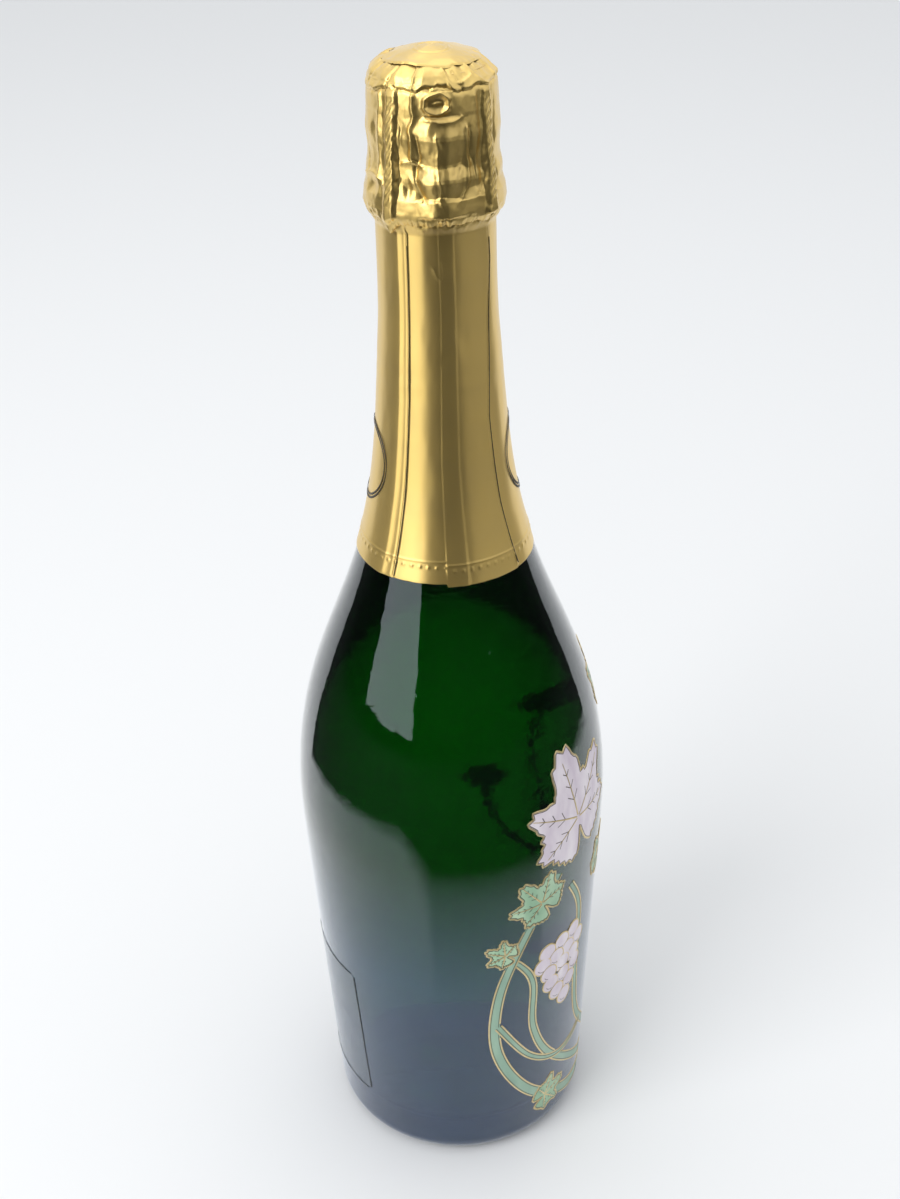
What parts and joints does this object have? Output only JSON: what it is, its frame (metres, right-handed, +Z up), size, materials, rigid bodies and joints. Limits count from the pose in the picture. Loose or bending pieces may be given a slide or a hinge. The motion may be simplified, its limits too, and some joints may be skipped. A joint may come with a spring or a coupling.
{
  "type": "champagne bottle",
  "caption": "Full sparkling-wine bottle in dark green glass with a tapered body, punt, mushroom cork, wire cage and gold foil capsule, decorated with an enamelled vine.",
  "frame": {"origin": "middle of the base, on the plane the bottle stands on", "axes": "+Z up along the bottle's axis, -Y out of the decorated front, +Y out of the labelled back"},
  "size_m": [0.09, 0.09, 0.3327],
  "materials": {
    "green_glass": "dark green bottle glass, polished",
    "wine": "clear pale gold liquid",
    "cork_granules": "pressed cork granules, matte",
    "whole_cork": "whole cork with fine pores, matte",
    "cap_plate": "gold lacquered tinplate",
    "cage_wire": "galvanised wire, satin",
    "gold_foil": "satin gold foil with printed and embossed borders",
    "crown_foil": "crumpled gold foil, semi-gloss",
    "label_film": "clear film with a fine dark border"
  },
  "bodies": {
    "bottle": {"bottle": "green_glass", "wine": "wine", "foil_skirt": "gold_foil", "back_label": "label_film"},
    "cork": {"cork_body": "cork_granules", "cork_disc_upper": "whole_cork", "cork_disc_lower": "whole_cork"},
    "cage": {"cage_cap": "cap_plate", "cage_rim_wire": "cage_wire", "cage_leg_1": "cage_wire", "cage_leg_2": "cage_wire", "cage_leg_3": "cage_wire", "cage_leg_4": "cage_wire", "cage_belt": "cage_wire"},
    "hood": {"foil_crown": "crown_foil", "foil_top_disc": "crown_foil"}
  },
  "joints": [
    {"name": "cork_pull", "type": "slide", "parent": "bottle", "child": "cork", "axis": [0, 0, 1], "range_m": [0, 0.03]},
    {"name": "cage_lift", "type": "slide", "parent": "cork", "child": "cage", "axis": [0, 0, 1], "range_m": [0, 0.042], "deforming": ["cage_leg_1", "cage_leg_2", "cage_leg_3", "cage_leg_4", "cage_belt"]},
    {"name": "hood_pull", "type": "slide", "parent": "cage", "child": "hood", "axis": [0, 0, 1], "range_m": [0, 0.044]}
  ]
}
